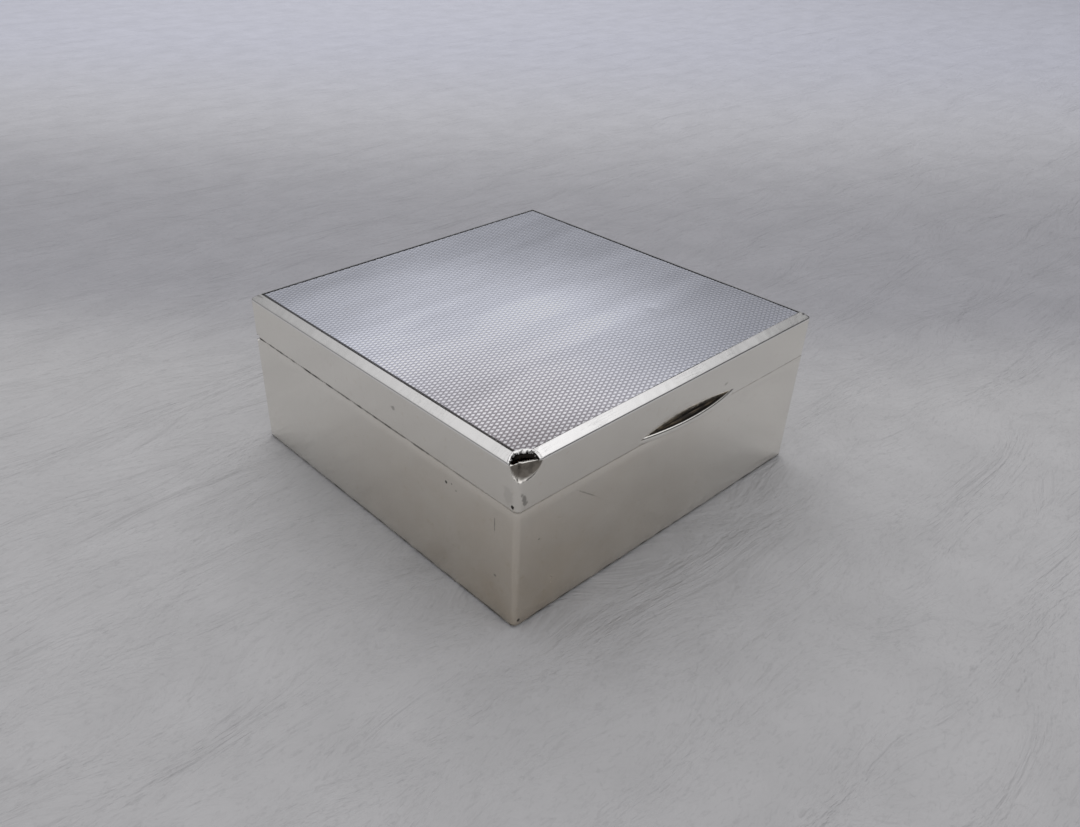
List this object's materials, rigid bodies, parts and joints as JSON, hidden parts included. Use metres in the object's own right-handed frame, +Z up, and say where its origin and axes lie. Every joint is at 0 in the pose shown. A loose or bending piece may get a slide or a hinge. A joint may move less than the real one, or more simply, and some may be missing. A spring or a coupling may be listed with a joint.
{
  "type": "stamp box",
  "caption": "Square silver stamp box with a hinged engine-turned lid, a crescent thumb lip, a dented lid corner and a cedar interior of curved stamp cells.",
  "frame": {"origin": "middle of the leather underside, on the surface the box stands on", "axes": "+Z up, +X to the right and -Y to the front, where the thumb lip is; the hinge runs along the back at +Y"},
  "size_m": [0.085, 0.0866, 0.0365],
  "materials": {
    "silver": "polished silver with fine handling scratches",
    "turned_silver": "engine-turned barleycorn silver",
    "cedar": "bare cedar with a fine straight grain",
    "board_wood": "dark stained board",
    "leather": "thin grained leather, nearly black"
  },
  "bodies": {
    "base": {"base_front_plate": "silver", "base_right_plate": "silver", "base_back_plate": "silver", "base_left_plate": "silver", "base_board": "board_wood", "underside_leather": "leather", "lining_front": "cedar", "lining_right": "cedar", "lining_back": "cedar", "lining_left": "cedar", "lining_floor": "cedar", "divider_lengthwise": "cedar", "divider_crosswise": "cedar", "stamp_ramps": "cedar", "hinge_channel_base": "silver", "hinge_knuckles_base": "silver", "hinge_pin": "silver"},
    "lid": {"lid_front_plate": "silver", "lid_right_plate": "silver", "lid_back_plate": "silver", "lid_left_plate": "silver", "lid_border": "silver", "engine_turned_panel": "turned_silver", "thumb_lip": "silver", "lid_lining_board": "cedar", "lid_packing_strips": "board_wood", "hinge_channel_lid": "silver", "hinge_knuckles_lid": "silver"}
  },
  "joints": [
    {"name": "lid_hinge", "type": "hinge", "parent": "base", "child": "lid", "pos_m": [0, 0.0416, 0.0265], "axis": [-1, 0, 0], "range_deg": [0, 95]}
  ]
}
